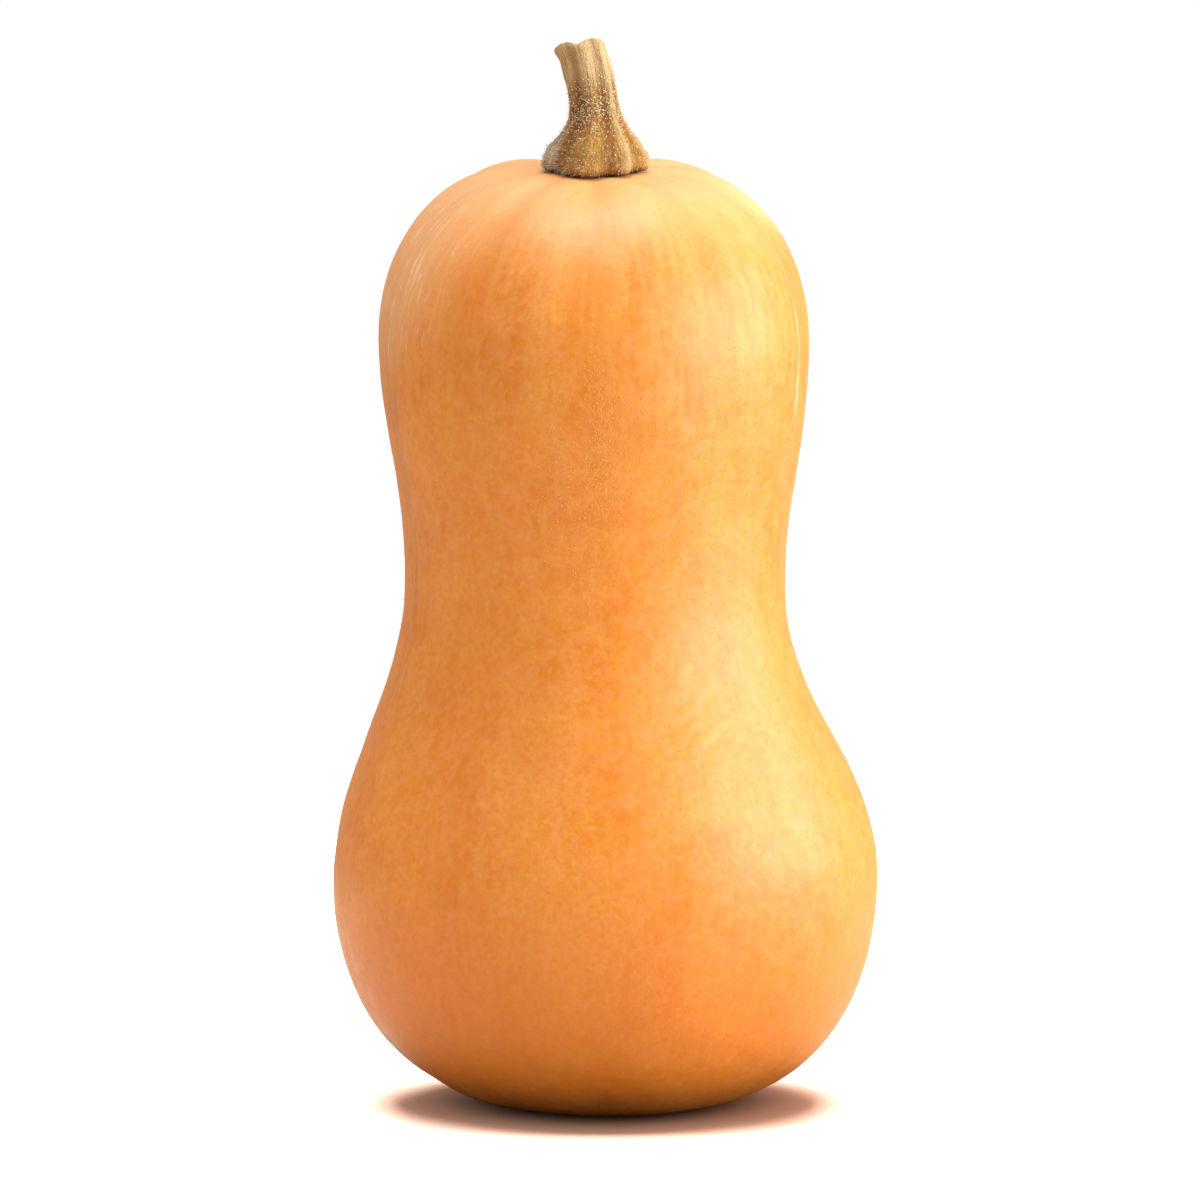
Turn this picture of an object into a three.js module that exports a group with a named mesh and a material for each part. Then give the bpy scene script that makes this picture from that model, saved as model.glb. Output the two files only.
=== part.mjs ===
// A butternut squash, standing on its blossom end. Millimetres, +Z up.
// The origin is the middle of the foot of its bounding box, and -Y is its front.
// It has two pieces: the fruit, grown as one solid, and the hard, ribbed stalk left on its crown.
import * as THREE from 'three';

// Driving dimensions of the fruit: its outline from the foot to the crown.
// At each widest or narrowest height, below and above say how far the curve holds its upright run.
const foot = { inner: 12, outer: 19, run: 28.5 };
const belly = { radius: 61.4, height: 50, below: 27.5, above: 26 };
const waist = { radius: 43.1, height: 116.3, below: 25.2, above: 23.4 };
const lobe = { radius: 48.4, height: 172.5, below: 22.8, above: 18 };
const crown = { radius: 15, height: 211.4, run: 23.2, dimple: 1.2, rings: [12.5, 10, 7, 3.5, 0] };

// From this height upwards a tilt in degrees brings the fruit's front down and lifts its back.
const lean = { tilt: 8.2, from: 140 };

// The scar of the flower, a small corky disc in the hollow of the foot.
const scar = { nub: 0.9, dome: 1.4, radius: 4.6, rim: 0.8, height: 1.7, moat: 2.5 };
const hollow = { height: 2.3, inner: 2, outer: 3 };

// The neck stands a little to the left of the belly and behind it.
const neck = { x: -2.75, y: 1.5, from: 54, to: 108 };

// Ten ribs with a groove between each two. Grooves are deepest round the stalk.
// Part of a groove's depth is a narrow crease, and the rest reaches to the next grooves.
const ribs = {
  count: 10,
  spread: 3,
  wander: 2,
  unlike: 0.3,
  flank: 0.3,
  under: { depth: 0.5, height: 8, reach: 14 },
  top: { depth: 1.2, from: 162, full: 207 },
  crease: { width: 9, share: 0.55 },
};

// Slow swellings that keep the fruit from being a turned shape: height, turns around, turns per mm, phase.
const swellings = [
  { height: 0.3, around: 2, rise: 0.052, phase: 1.0 },
  { height: 0.25, around: 3, rise: -0.041, phase: 2.1 },
  { height: 0.14, around: 5, rise: 0.083, phase: 0.4 },
];
const flattening = { belly: -0.02, neck: 0.015, threefold: 0.006 };

// Near the stalk the skin is even out to an edge, and a reach further out all its unevenness is there.
const even = {
  grooves: { edge: 8, reach: 9 },
  swellings: { edge: 12, reach: 18 },
  flattening: { edge: 14, reach: 16 },
  foot: { edge: foot.outer, reach: 24 },
};

// Driving dimensions of the stalk, and the places that its middle line passes, from its base upwards.
const stalk = {
  shaft: 5.7,
  flare: { radius: 6.3, height: 7.8, power: 2.6 },
  grooves: { shaft: 1.15, base: 2.1 },
  toe: { round: 2.2, tuck: 0.8 },
  lip: { out: 0.5, height: 3.5, outerSide: 0.8 },
  cut: { level: 0.2, height: 7, round: 0.7, rim: 0.84, inner: 0.7, middle: 0.35, pith: 0.9 },
  twist: 20,
  upright: 4,
  seated: 9,
  gap: 0.3,
};
const stalkLine = [
  [0, 0, 0],
  [0.3, 0, 6],
  [0.1, 0.3, 12],
  [-0.7, 0.7, 18],
  [-1.8, 1.3, 22.6],
  [-3.4, 2.0, 28.6],
];
// The stalk's ridges, each of which spreads into a toe on the crown: place and width in degrees, heights in mm.
const ridges = [
  { at: -74, width: 22, height: 1.1, toe: 2.5 },
  { at: -14, width: 27, height: 1.1, toe: 3.0 },
  { at: 36, width: 14, height: 1.1, toe: 2.2 },
  { at: 71, width: 17, height: 1.1, toe: 3.1 },
  { at: 122, width: 23, height: 1.0, toe: 2.0 },
  { at: 174, width: 22, height: 1.2, toe: 2.2 },
  { at: 230, width: 25, height: 1.1, toe: 2.1 },
];

// How finely the two solids are divided. The fruit's columns stand closer together beside each groove.
const mesh = {
  fruitRows: { nub: 3, rim: 1, hollow: 4, foot: 1, underside: 10, belly: 9, waist: 7, shoulder: 11 },
  columnsPerRib: 8,
  bunching: 0.5,
  stalkColumns: 60,
  stalkHeights: [0, 0.5, 1.2, 2.2, 3.4, 4.6, 5.8, 7, 8.4, 10, 12, 14, 16, 18, 20, 22, 24, 26],
  stalkSeat: [0, 0.35, 0.7, 0.9],
};

const { clamp, degToRad, euclideanModulo, lerp, radToDeg, smoothstep } = THREE.MathUtils;
const flat = (r, z) => new THREE.Vector2(r, z);
const bell = (x, middle, width) => Math.exp(-(((x - middle) / width) ** 2));

// The difference between two angles in degrees, from -180 to 180.
const turn = (a, b) => euclideanModulo(a - b + 180, 360) - 180;

// A steady stray value from -1 to 1 for each whole number.
const stray = (number) => Math.sin(13 * number + 4.1);

// The grooves draw together on the sides that the front doesn't show, and each strays a little.
const grooves = Array.from({ length: ribs.count }, (_, i) => {
  const step = (360 / ribs.count) * i - 180;
  return {
    at: step + ribs.spread * Math.sin(degToRad(step)) + ribs.wander * stray(i),
    depth: 1 + ribs.unlike * stray(ribs.count + i),
  };
});

// The hollow crown inside the ring where the outline ends, before its tilt.
function crownHeight(r) {
  const inside = Math.min(r / crown.radius, 1);
  return crown.height - crown.dimple * (1 - inside ** 2) ** 2;
}

// The share of its unevenness that the skin keeps: none on the foot or round the stalk, all of it further out.
function openSkin(r, z, atCrown) {
  const { edge, reach } = z > belly.height ? atCrown : even.foot;
  return smoothstep(r, edge, edge + reach);
}

// How far the skin is drawn in at an angle in degrees: sharply at each groove, and gently towards it.
function grooveDepth(angle, r, z) {
  const under = ribs.under.depth * bell(z, ribs.under.height, ribs.under.reach);
  const top = ribs.top.depth * smoothstep(z, ribs.top.from, ribs.top.full);
  let drawn = 0;
  grooves.forEach((groove, i) => {
    const away = turn(angle, groove.at);
    const next = grooves[(i + (away < 0 ? ribs.count - 1 : 1)) % ribs.count];
    const span = Math.abs(turn(next.at, groove.at));
    const dip = Math.abs(away) < span ? 0.5 + 0.5 * Math.cos((Math.PI * away) / span) : 0;
    drawn += groove.depth * lerp(dip, bell(away, 0, ribs.crease.width), ribs.crease.share);
  });
  return (ribs.flank + under + top) * openSkin(r, z, even.grooves) * drawn;
}

// How far the skin stands out or in by the slow swellings.
function swelling(angle, r, z) {
  let sum = 0;
  for (const { height, around, rise, phase } of swellings) {
    sum += height * Math.sin(around * degToRad(angle) + rise * z + phase);
  }
  return sum * openSkin(r, z, even.swellings);
}

// How far the tilt lifts a point at y from the neck's middle.
function leanLift(y, z) {
  return Math.tan(degToRad(lean.tilt)) * y * smoothstep(z, lean.from, crown.height);
}

// The curves that make the fruit's half outline, from the middle of the scar to the crown.
function fruitOutline() {
  const rows = mesh.fruitRows;
  const disc = flat(scar.radius - scar.rim, scar.height);
  const bend = (a, b, c, d) => new THREE.CubicBezierCurve(flat(...a), flat(...b), flat(...c), flat(...d));
  return [
    [new THREE.SplineCurve([flat(0, scar.nub), flat(1, scar.dome), disc]), rows.nub],
    [new THREE.LineCurve(disc, flat(scar.radius, scar.moat)), rows.rim],
    [
      bend(
        [scar.radius, scar.moat],
        [scar.radius + hollow.inner, hollow.height],
        [foot.inner - hollow.outer, 0],
        [foot.inner, 0],
      ),
      rows.hollow,
    ],
    [new THREE.LineCurve(flat(foot.inner, 0), flat(foot.outer, 0)), rows.foot],
    [
      bend(
        [foot.outer, 0],
        [foot.outer + foot.run, 0],
        [belly.radius, belly.height - belly.below],
        [belly.radius, belly.height],
      ),
      rows.underside,
    ],
    [
      bend(
        [belly.radius, belly.height],
        [belly.radius, belly.height + belly.above],
        [waist.radius, waist.height - waist.below],
        [waist.radius, waist.height],
      ),
      rows.belly,
    ],
    [
      bend(
        [waist.radius, waist.height],
        [waist.radius, waist.height + waist.above],
        [lobe.radius, lobe.height - lobe.below],
        [lobe.radius, lobe.height],
      ),
      rows.waist,
    ],
    [
      bend(
        [lobe.radius, lobe.height],
        [lobe.radius, lobe.height + lobe.above],
        [crown.radius + crown.run, crown.height],
        [crown.radius, crown.height],
      ),
      rows.shoulder,
    ],
  ];
}

// The half outline of the fruit as rows of radius, height and the outward direction there.
function fruitRows() {
  const points = fruitOutline().flatMap(([curve, steps], i) => curve.getPoints(steps).slice(i ? 1 : 0));
  const lastOfOutline = points.length - 1;
  points.push(...crown.rings.map((r) => flat(r, crownHeight(r))));
  return points.map((point, i) => {
    const along = points[Math.min(i + 1, points.length - 1)].clone().sub(points[Math.max(i - 1, 0)]);
    const out = i < lastOfOutline ? flat(along.y, -along.x).normalize() : flat(0, 1);
    return { r: point.x, z: point.y, out };
  });
}

// A point of the fruit's skin. Its angle in degrees is 0 at the front and 90 on the right.
function skinPoint(row, angle) {
  const shift = swelling(angle, row.r, row.z) - grooveDepth(angle, row.r, row.z);
  const z = row.z + shift * row.out.y;
  const onNeck = smoothstep(z, neck.from, neck.to);
  const deep = lerp(flattening.belly, flattening.neck, onNeck) * Math.cos(degToRad(angle)) ** 2;
  const threefold = flattening.threefold * Math.cos(3 * degToRad(angle));
  const r = (row.r + shift * row.out.x) * (1 + (deep + threefold) * openSkin(row.r, z, even.flattening));
  const x = r * Math.sin(degToRad(angle));
  const y = -r * Math.cos(degToRad(angle));
  return new THREE.Vector3(neck.x * onNeck + x, neck.y * onNeck + y, z + leanLift(y, z));
}

function columnAngles() {
  return grooves.flatMap((groove, i) => {
    const span = euclideanModulo(grooves[(i + 1) % ribs.count].at - groove.at, 360);
    return Array.from({ length: mesh.columnsPerRib }, (_, j) => {
      const u = j / mesh.columnsPerRib;
      return groove.at + span * (u - (mesh.bunching * Math.sin(2 * Math.PI * u)) / (2 * Math.PI));
    });
  });
}

// Turns a profile into a closed solid of revolution and moves each vertex to its own place.
function shapedLathe(profile, columns, place) {
  const geometry = new THREE.LatheGeometry(profile, columns);
  const position = geometry.getAttribute('position');
  for (let i = 0; i < position.count; i++) {
    const column = Math.floor(i / profile.length) % columns;
    const p = place(i % profile.length, column);
    position.setXYZ(i, p.x, p.y, p.z);
  }
  geometry.computeVertexNormals();
  return geometry;
}

function fruitGeometry() {
  const rows = fruitRows();
  const angles = columnAngles();
  const profile = rows.map((row) => flat(row.r, row.z));
  return shapedLathe(profile, angles.length, (row, column) => skinPoint(rows[row], angles[column]));
}

// The fruit's surface under the stalk, at a place measured from the middle of the crown.
function seatHeight(x, y) {
  const r = Math.hypot(x, y);
  const angle = radToDeg(Math.atan2(x, -y));
  return crownHeight(r) - grooveDepth(angle, r, crown.height) + leanLift(y, crown.height);
}

// The stalk's radius at a height above the crown, on the ridge or groove at that angle.
function stalkRadius(angle, height) {
  const end = stalkLine.at(-1)[2];
  const spread = Math.exp(-((height / stalk.flare.height) ** stalk.flare.power));
  const turned = angle - (stalk.twist * height) / end;
  let relief = -lerp(stalk.grooves.shaft, stalk.grooves.base, spread);
  for (const ridge of ridges) {
    relief += lerp(ridge.height, ridge.toe, spread) * bell(turn(turned, ridge.at), 0, ridge.width);
  }
  const lipShare = 1 - stalk.lip.outerSide * Math.sin(degToRad(angle));
  const lip = stalk.lip.out * lipShare * smoothstep(height, end - stalk.lip.height, end);
  const low = clamp(1 - height / stalk.toe.round, 0, 1);
  const tuck = stalk.toe.round * stalk.toe.tuck * (1 - Math.sqrt(1 - low ** 2));
  return stalk.shaft + stalk.flare.radius * spread + relief + lip - tuck;
}

// The stalk's outline: share of the radius and height, from under its base to the middle of its cut end.
function stalkRows() {
  const { round, rim, inner, middle, pith } = stalk.cut;
  const end = stalkLine.at(-1)[2];
  return [
    ...mesh.stalkSeat.map((share) => ({ share, height: 0 })),
    ...mesh.stalkHeights.map((height) => ({ share: 1, height })),
    { share: 1, height: end - round },
    { share: (1 + rim) / 2, height: end - round / 4 },
    { share: rim, height: end },
    { share: inner, height: end - pith / 2 },
    { share: middle, height: end - pith },
    { share: 0, height: end - pith },
  ];
}

function stalkGeometry() {
  const rows = stalkRows();
  const end = stalkLine.at(-1)[2];
  const line = new THREE.CatmullRomCurve3(stalkLine.map((p) => new THREE.Vector3(...p)));
  const base = crown.height - crown.dimple / 2;
  const place = (index, column) => {
    const { share, height } = rows[index];
    const angle = (360 / mesh.stalkColumns) * column;
    const middle = line.getPoint(height / end);
    const up = height > stalk.upright ? line.getTangent(height / end) : new THREE.Vector3(0, 0, 1);
    const right = new THREE.Vector3(0, 1, 0).cross(up).normalize();
    const back = up.clone().cross(right);
    const r = share * stalkRadius(angle, height);
    const p = middle
      .clone()
      .addScaledVector(right, r * Math.sin(degToRad(angle)))
      .addScaledVector(back, -r * Math.cos(degToRad(angle)));
    p.z -= stalk.cut.level * (p.x - middle.x) * smoothstep(height, end - stalk.cut.height, end);
    p.z += lerp(seatHeight(p.x, p.y), base, smoothstep(height, 0, stalk.seated)) + stalk.gap;
    return p.add(new THREE.Vector3(neck.x, neck.y, 0));
  };
  const profile = rows.map((row) => flat(row.share, row.height));
  return shapedLathe(profile, mesh.stalkColumns, place);
}

const rind = new THREE.MeshStandardMaterial({ color: 0xe8994a, roughness: 0.42, metalness: 0 });
const dryStalk = new THREE.MeshStandardMaterial({ color: 0xb58a4e, roughness: 0.85, metalness: 0 });

const squash = new THREE.Group();
const fruit = new THREE.Mesh(fruitGeometry(), rind);
fruit.name = 'fruit';
squash.add(fruit);
const peduncle = new THREE.Mesh(stalkGeometry(), dryStalk);
peduncle.name = 'stalk';
squash.add(peduncle);

// Centre the whole on its own box, with the foot at height 0.
const box = new THREE.Box3().setFromObject(squash);
const centre = box.getCenter(new THREE.Vector3());
squash.position.set(-centre.x, -centre.y, -box.min.z);

export default squash;
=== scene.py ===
# A butternut squash standing on its blossom end, in soft studio light.
import math
import random
from bisect import bisect
from functools import cache

import bmesh
import bpy
from mathutils import Matrix, Vector, noise
from mathutils.geometry import interpolate_bezier


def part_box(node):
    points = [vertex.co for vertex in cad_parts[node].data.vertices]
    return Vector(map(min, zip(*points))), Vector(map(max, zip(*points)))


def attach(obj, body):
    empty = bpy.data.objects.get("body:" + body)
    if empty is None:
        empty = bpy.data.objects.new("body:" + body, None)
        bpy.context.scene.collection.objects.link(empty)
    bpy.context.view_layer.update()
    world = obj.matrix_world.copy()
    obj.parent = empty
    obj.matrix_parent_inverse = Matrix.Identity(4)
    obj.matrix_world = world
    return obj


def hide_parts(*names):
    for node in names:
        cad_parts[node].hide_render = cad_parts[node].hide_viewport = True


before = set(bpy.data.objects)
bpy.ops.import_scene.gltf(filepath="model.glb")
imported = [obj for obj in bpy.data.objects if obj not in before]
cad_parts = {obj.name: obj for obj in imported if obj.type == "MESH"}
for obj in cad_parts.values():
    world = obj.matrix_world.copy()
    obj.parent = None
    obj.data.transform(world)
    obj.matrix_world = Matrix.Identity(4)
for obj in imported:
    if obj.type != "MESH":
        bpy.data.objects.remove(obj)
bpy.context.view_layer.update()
mm = 0.001  # shapes are worked out in millimetres and kept in metres

# The whole fruit in millimetres and degrees. Its outline runs from the foot to the crown.
fruit = {
    "foot": {"inner": 12, "outer": 19, "run": 28.5},
    "belly": {"radius": 61.4, "height": 50, "below": 27.5, "above": 26},
    "waist": {"radius": 43.1, "height": 116.3, "below": 25.2, "above": 23.4},
    "lobe": {"radius": 48.4, "height": 172.5, "below": 22.8, "above": 18},
    "crown": {"radius": 15, "height": 211.4, "run": 23.2, "dimple": 1.2},
    "lean": {"tilt": 8.2, "start": 140},
    "scar": {"nub": 0.9, "dome": 1.4, "radius": 4.6, "rim": 0.8, "height": 1.7, "moat": 2.5},
    "hollow": {"height": 2.3, "inner": 2, "outer": 3},
    "neck": {"x": -2.75, "y": 1.5, "start": 54, "end": 108},
    "ribs": {"count": 10, "spread": 3, "wander": 2, "unlike": 0.3, "flank": 0.3},
    "underRibs": {"depth": 0.5, "height": 8, "reach": 14},
    "topRibs": {"depth": 1.2, "start": 162, "full": 207},
    "groove": {"width": 9, "share": 0.55},
    "swellings": [  # height, turns around, turns per mm, phase
        (0.3, 2, 0.052, 1.0),
        (0.25, 3, -0.041, 2.1),
        (0.14, 5, 0.083, 0.4),
    ],
    "flattening": {"belly": -0.02, "neck": 0.015, "threefold": 0.006},
    # Round the stalk the skin is even out to an edge, and has all its unevenness a reach further out.
    "evenGrooves": (8, 9),
    "evenSwellings": (12, 18),
    "evenFlattening": (14, 16),
    "evenFoot": (19, 24),
    "columnsPerRib": 30,
    "bunching": 0.55,
    "rows": {"nub": 8, "rim": 3, "hollow": 10, "foot": 4, "underside": 72, "belly": 64, "waist": 54,
             "shoulder": 62, "crown": 14},
}

# The skin's finer relief: height in mm, with the size in mm of its dents.
skin = {
    "dents": [(0.2, 17), (0.09, 7), (0.035, 2.6)],
    "creaseDepth": 0.42,
    "creaseNoise": {"bend": 26, "break": 13, "mean": 0.75, "swing": 1.1},
    "creases": [  # angle, share of the depth, width, wander, and the heights where it fades in
        (-178, 0.34, 0.9, 4, 120, 170), (-110, 0.4, 0.9, 4, 110, 170), (-74, 0.5, 1.2, 3.4, 58, 135),
        (-69, 0.36, 0.9, 4, 58, 120), (74, 0.62, 1.2, 3.4, 98, 170), (144, 0.4, 0.9, 4, 120, 175),
    ],
    "wrinkles": {"angle": -69, "spread": 9, "height": 113, "reach": 31, "step": 5.5, "depth": 0.2,
                 "waver": 3, "size": 8},
    "ripples": {"angle": 20, "spread": 17, "height": 94, "reach": 20, "step": 5.4, "depth": 0.09,
                "slant": 0.5, "waver": 5, "size": 9},
}


def lerp(a, b, share):
    return a + (b - a) * share


def smoothStep(x, low, high):
    t = min(max((x - low) / (high - low), 0), 1)
    return t * t * (3 - 2 * t)


def bell(x, width):
    return math.exp(-((x / width) ** 2))


def turn(a, b):  # the difference between two angles, from -180 to 180
    return (a - b + 180) % 360 - 180


def stray(number):  # a steady stray value from -1 to 1 for each whole number
    return math.sin(13 * number + 4.1)


def makeGrooves():
    made = []
    ribs = fruit["ribs"]
    for i in range(ribs["count"]):
        step = 360 / ribs["count"] * i - 180
        at = step + ribs["spread"] * math.sin(math.radians(step)) + ribs["wander"] * stray(i)
        made.append((at, 1 + ribs["unlike"] * stray(ribs["count"] + i)))
    return made


grooves = makeGrooves()


def crownHeight(r):
    crown = fruit["crown"]
    inside = min(r / crown["radius"], 1)
    return crown["height"] - crown["dimple"] * (1 - inside**2) ** 2


def openSkin(r, z, atCrown):
    edge, reach = atCrown if z > fruit["belly"]["height"] else fruit["evenFoot"]
    return smoothStep(r, edge, edge + reach)


@cache
def grooveDraw(angle):  # how strongly the grooves draw the skin in at that angle
    drawn = 0
    for i, (at, depth) in enumerate(grooves):
        away = turn(angle, at)
        beside = grooves[(i + (-1 if away < 0 else 1)) % len(grooves)][0]
        span = abs(turn(beside, at))
        dip = 0.5 + 0.5 * math.cos(math.pi * away / span) if abs(away) < span else 0
        drawn += depth * lerp(dip, bell(away, fruit["groove"]["width"]), fruit["groove"]["share"])
    return drawn


def grooveReach(z):  # how deep a groove is at that height
    under, top = fruit["underRibs"], fruit["topRibs"]
    low = under["depth"] * bell(z - under["height"], under["reach"])
    return fruit["ribs"]["flank"] + low + top["depth"] * smoothStep(z, top["start"], top["full"])


def grooveDepth(angle, r, z):
    return grooveReach(z) * openSkin(r, z, fruit["evenGrooves"]) * grooveDraw(angle)


def swelling(angle, r, z):
    total = 0
    for height, around, rise, phase in fruit["swellings"]:
        total += height * math.sin(around * math.radians(angle) + rise * z + phase)
    return total * openSkin(r, z, fruit["evenSwellings"])


def leanLift(y, z):
    lean = fruit["lean"]
    rise = math.tan(math.radians(lean["tilt"])) * y
    return rise * smoothStep(z, lean["start"], fruit["crown"]["height"])


def bend(start, leave, arrive, end, steps):  # a curve's points, without its first
    points = [Vector((*p, 0)) for p in (start, leave, arrive, end)]
    return [(p.x, p.y) for p in interpolate_bezier(*points, steps + 1)[1:]]


def fruitRows():  # radius, height and outward direction of each row, from the scar to the crown
    foot, belly, waist, lobe, crown = (fruit[k] for k in ("foot", "belly", "waist", "lobe", "crown"))
    scar, hollow, rows = fruit["scar"], fruit["hollow"], fruit["rows"]
    disc = (scar["radius"] - scar["rim"], scar["height"])
    moat = (scar["radius"], scar["moat"])
    points = [(0, scar["nub"])]
    points += bend(points[0], (0.5, scar["dome"]), (disc[0] / 2, scar["height"]), disc, rows["nub"])
    points += bend(disc, disc, moat, moat, rows["rim"])
    points += bend(moat, (moat[0] + hollow["inner"], hollow["height"]),
                   (foot["inner"] - hollow["outer"], 0), (foot["inner"], 0), rows["hollow"])
    step = (foot["outer"] - foot["inner"]) / rows["foot"]
    points += [(foot["inner"] + step * (i + 1), 0) for i in range(rows["foot"])]
    points += bend((foot["outer"], 0), (foot["outer"] + foot["run"], 0),
                   (belly["radius"], belly["height"] - belly["below"]),
                   (belly["radius"], belly["height"]), rows["underside"])
    points += bend((belly["radius"], belly["height"]), (belly["radius"], belly["height"] + belly["above"]),
                   (waist["radius"], waist["height"] - waist["below"]),
                   (waist["radius"], waist["height"]), rows["belly"])
    points += bend((waist["radius"], waist["height"]), (waist["radius"], waist["height"] + waist["above"]),
                   (lobe["radius"], lobe["height"] - lobe["below"]),
                   (lobe["radius"], lobe["height"]), rows["waist"])
    points += bend((lobe["radius"], lobe["height"]), (lobe["radius"], lobe["height"] + lobe["above"]),
                   (crown["radius"] + crown["run"], crown["height"]),
                   (crown["radius"], crown["height"]), rows["shoulder"])
    onCrown = len(points)
    for i in range(rows["crown"]):
        r = crown["radius"] * (1 - (i + 1) / rows["crown"])
        points.append((r, crownHeight(r)))
    made = []
    for i, (r, z) in enumerate(points):
        before, after = points[max(i - 1, 0)], points[min(i + 1, len(points) - 1)]
        along = Vector((after[0] - before[0], after[1] - before[1])).normalized()
        out = (0, 1) if i >= onCrown else (along.y, -along.x)
        made.append((r, z, out))
    return made


def skinPoint(row, angle):  # a point of the smooth skin, with angle 0 at the front and 90 on the right
    r, z, out = row
    shift = swelling(angle, r, z) - grooveDepth(angle, r, z)
    height = z + shift * out[1]
    neck, flattening = fruit["neck"], fruit["flattening"]
    onNeck = smoothStep(height, neck["start"], neck["end"])
    turned = math.radians(angle)
    deep = lerp(flattening["belly"], flattening["neck"], onNeck) * math.cos(turned) ** 2
    threefold = flattening["threefold"] * math.cos(3 * turned)
    wide = (r + shift * out[0]) * (1 + (deep + threefold) * openSkin(r, z, fruit["evenFlattening"]))
    x, y = wide * math.sin(turned), -wide * math.cos(turned)
    return Vector((neck["x"] * onNeck + x, neck["y"] * onNeck + y, height + leanLift(y, height)))


def bunched(angle):  # moves an even column towards its nearest groove
    count = len(grooves)
    at = (angle + 180) / 360 * count
    i, u = int(at) % count, at - int(at)
    start = grooves[i][0]
    span = (grooves[(i + 1) % count][0] - start) % 360
    return start + span * (u - fruit["bunching"] * math.sin(2 * math.pi * u) / (2 * math.pi))


def creaseAt(angle, r, z):  # 1 in the middle of a crease and 0 away from it
    deepest, uneven = 0, skin["creaseNoise"]
    for at, share, width, wander, low, high in skin["creases"]:
        away = turn(angle, at)
        if abs(away) < wander + 3 * width:
            away -= wander * noise.noise(Vector((at, 0, z / uneven["bend"])))
            broken = uneven["mean"] + uneven["swing"] * noise.noise(Vector((at, 5, z / uneven["break"])))
            deepest = max(deepest, share * broken * bell(away, width) * smoothStep(z, low, high))
    return deepest * openSkin(r, z, fruit["evenGrooves"])


def fineRelief(place, angle, r, z, crease):  # how far the skin stands out in its dents, creases and wrinkles
    height = 0
    for depth, size in skin["dents"]:
        height += depth * noise.noise(place / size)
    w = skin["wrinkles"]
    away = turn(angle, w["angle"])
    near = bell(away, w["spread"]) * bell(z - w["height"], w["reach"])
    away += w["waver"] * noise.noise(place / w["size"])
    height += w["depth"] * near * math.sin(2 * math.pi * away / w["step"])
    p = skin["ripples"]
    away = turn(angle, p["angle"])
    near = bell(away, p["spread"]) * bell(z - p["height"], p["reach"])
    phase = 2 * math.pi * (z - p["slant"] * away) / p["step"] + p["waver"] * noise.noise(place / p["size"])
    height += p["depth"] * near * math.sin(phase)
    return height * openSkin(r, z, fruit["evenGrooves"]) - skin["creaseDepth"] * crease


def spinRows(bm, points, steps):  # spins a half outline round Z, and numbers each vertex by its row
    rowLayer = bm.verts.layers.int.new("row")
    made = []
    for i, (r, z) in enumerate(points):
        vert = bm.verts.new((r, 0, z))
        vert[rowLayer] = i
        made.append(vert)
    edges = [bm.edges.new(pair) for pair in zip(made, made[1:])]
    bmesh.ops.spin(bm, geom=made + edges, cent=(0, 0, 0), axis=(0, 0, 1), dvec=(0, 0, 0),
                   angle=2 * math.pi, steps=steps, use_merge=True)
    bmesh.ops.remove_doubles(bm, verts=bm.verts, dist=1e-5)
    return rowLayer


def growMany(count, grow):  # grows small shapes in batches, because the operators slow down as a mesh fills
    whole = bmesh.new()
    for first in range(0, count, 50):
        batch = bmesh.new()
        for i in range(first, min(first + 50, count)):
            grow(batch, i)
        mesh = bpy.data.meshes.new("batch")
        batch.to_mesh(mesh)
        batch.free()
        whole.from_mesh(mesh)
        bpy.data.meshes.remove(mesh)
    for vert in whole.verts:
        vert.co = atFrame(vert.co)
    return whole


def finishPiece(bm, name, material, nodes=()):  # makes the object, in metres, with smooth faces
    bmesh.ops.recalc_face_normals(bm, faces=bm.faces)
    for face in bm.faces:
        face.smooth = True
    mesh = bpy.data.meshes.new(name)
    bm.to_mesh(mesh)
    bm.free()
    mesh.materials.append(material)
    piece = bpy.data.objects.new(name, mesh)
    bpy.context.scene.collection.objects.link(piece)
    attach(piece, "root")
    if nodes:
        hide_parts(*nodes)
    return piece


def atFrame(point):  # from the fruit's own millimetres to the frame's metres
    return point * mm + shapeShift


def findShift():  # sets the fruit's own place against the box of the CAD fruit
    columns = [bunched(3 * i - 180) for i in range(120)]
    places = [skinPoint(row, angle) for row in fruitRows()[::2] for angle in columns]
    low = Vector(min(p[i] for p in places) for i in range(3))
    high = Vector(max(p[i] for p in places) for i in range(3))
    boxLow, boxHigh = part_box("fruit")
    middle = (boxLow + boxHigh) / 2 - (low + high) / 2 * mm
    return Vector((middle.x, middle.y, boxLow.z))


shapeShift = findShift()
print("fruit's own place", [round(v, 5) for v in shapeShift])


def buildFruit(material):
    rows = fruitRows()
    bm = bmesh.new()
    rowLayer = spinRows(bm, [(r, z) for r, z, _ in rows], fruit["columnsPerRib"] * len(grooves))
    grooveLayer = bm.verts.layers.float.new("groove")
    creaseLayer = bm.verts.layers.float.new("crease")
    for vert in bm.verts:
        r, z, out = rows[vert[rowLayer]]
        angle = round(bunched(math.degrees(math.atan2(vert.co.x, -vert.co.y))), 6)
        place = skinPoint((r, z, out), angle)
        turned = math.radians(angle)
        outward = Vector((out[0] * math.sin(turned), -out[0] * math.cos(turned), out[1]))
        vert[grooveLayer] = min(grooveDraw(angle), 1) * openSkin(r, z, fruit["evenGrooves"])
        vert[creaseLayer] = creaseAt(angle, r, z)
        vert.co = atFrame(place + outward * fineRelief(place, angle, r, z, vert[creaseLayer]))
    return finishPiece(bm, "squash_fruit", material, ["fruit"])


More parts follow.
